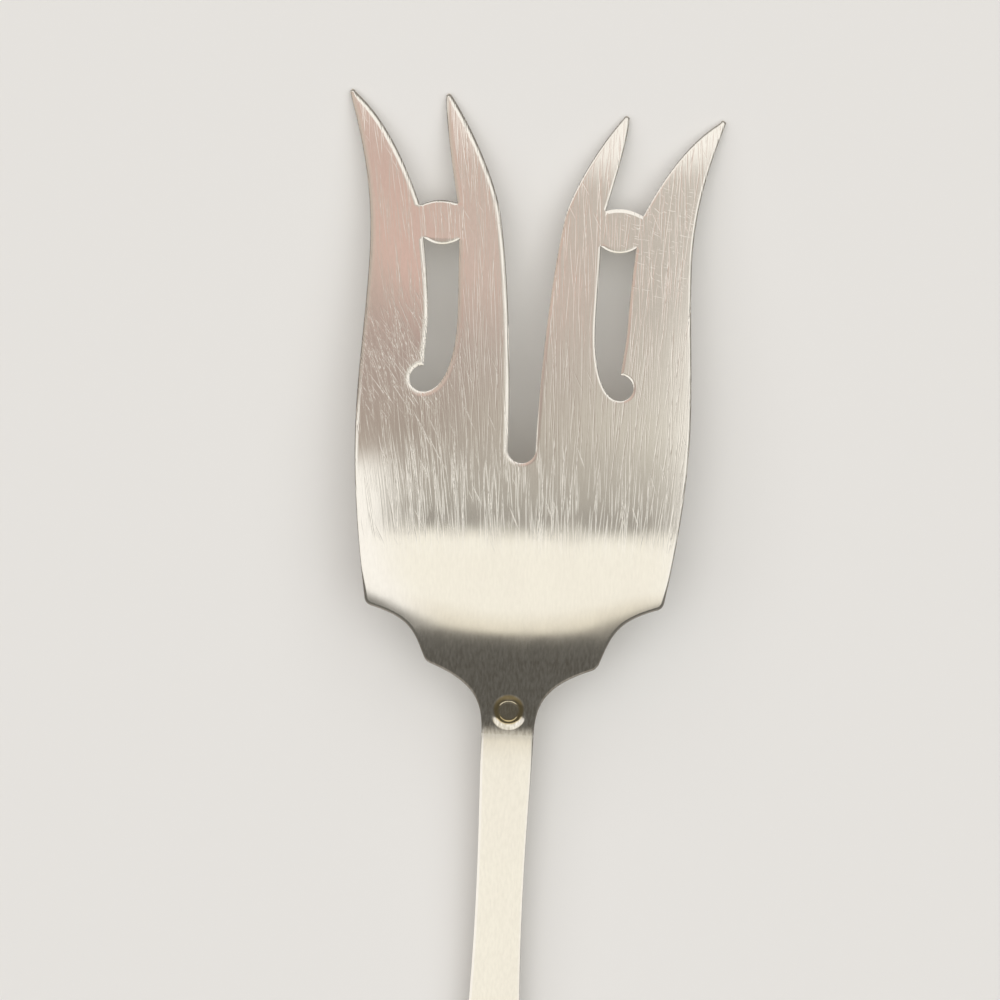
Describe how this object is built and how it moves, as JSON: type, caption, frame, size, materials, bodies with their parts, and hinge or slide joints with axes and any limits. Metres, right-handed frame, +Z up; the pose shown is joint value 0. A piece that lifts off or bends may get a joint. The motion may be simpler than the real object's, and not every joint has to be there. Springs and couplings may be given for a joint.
{
  "type": "serving fork",
  "caption": "Flat silver serving fork with a wide pierced head, paired flaring prongs joined by ties, coved shoulders and a plain tapering handle.",
  "frame": {"origin": "on the table, under the middle of the fork's length and width", "axes": "+Y along the fork towards the prong tips, +X across it to the right, +Z up out of the fork's back"},
  "size_m": [0.0516, 0.22, 0.0136],
  "materials": {
    "head_silver": "satin hand-polished sterling silver with fine lengthwise scratches",
    "tie_silver": "satin hand-polished sterling silver",
    "stem_silver": "smooth polished sterling silver"
  },
  "bodies": {
    "root": {"fork_head": "head_silver", "left_tie": "tie_silver", "right_tie": "tie_silver", "stem": "stem_silver"}
  },
  "joints": []
}
